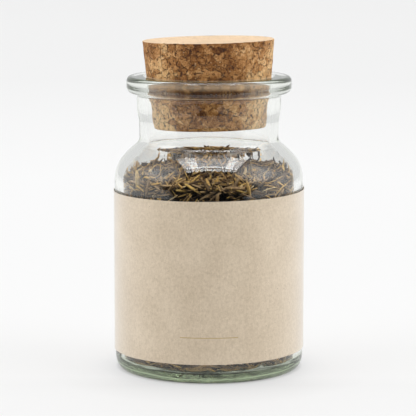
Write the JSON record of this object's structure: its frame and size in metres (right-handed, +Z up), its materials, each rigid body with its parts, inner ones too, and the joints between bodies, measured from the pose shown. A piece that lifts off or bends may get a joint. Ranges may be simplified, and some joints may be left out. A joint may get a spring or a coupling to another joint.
{
  "type": "corked spice jar of dried thyme",
  "caption": "Short-necked clear glass spice jar full of dried thyme leaves, closed with a tapered cork stopper and wrapped in a plain paper label.",
  "frame": {"origin": "middle of the ring that the jar stands on, at the level of its underside", "axes": "+Z up the jar's axis, -Y towards the front of the label, +X to the right as seen from the front"},
  "size_m": [0.0608, 0.0607, 0.105],
  "materials": {
    "clear_glass": "clear, faintly green, polished",
    "cork": "pressed cork granules, matte",
    "label_paper": "uncoated beige recycled paper, matte",
    "dried_thyme": "dry rolled leaves, matte"
  },
  "bodies": {
    "root": {"glass_jar": "clear_glass", "cork_stopper": "cork", "paper_label": "label_paper", "dried_thyme": "dried_thyme"}
  },
  "joints": []
}
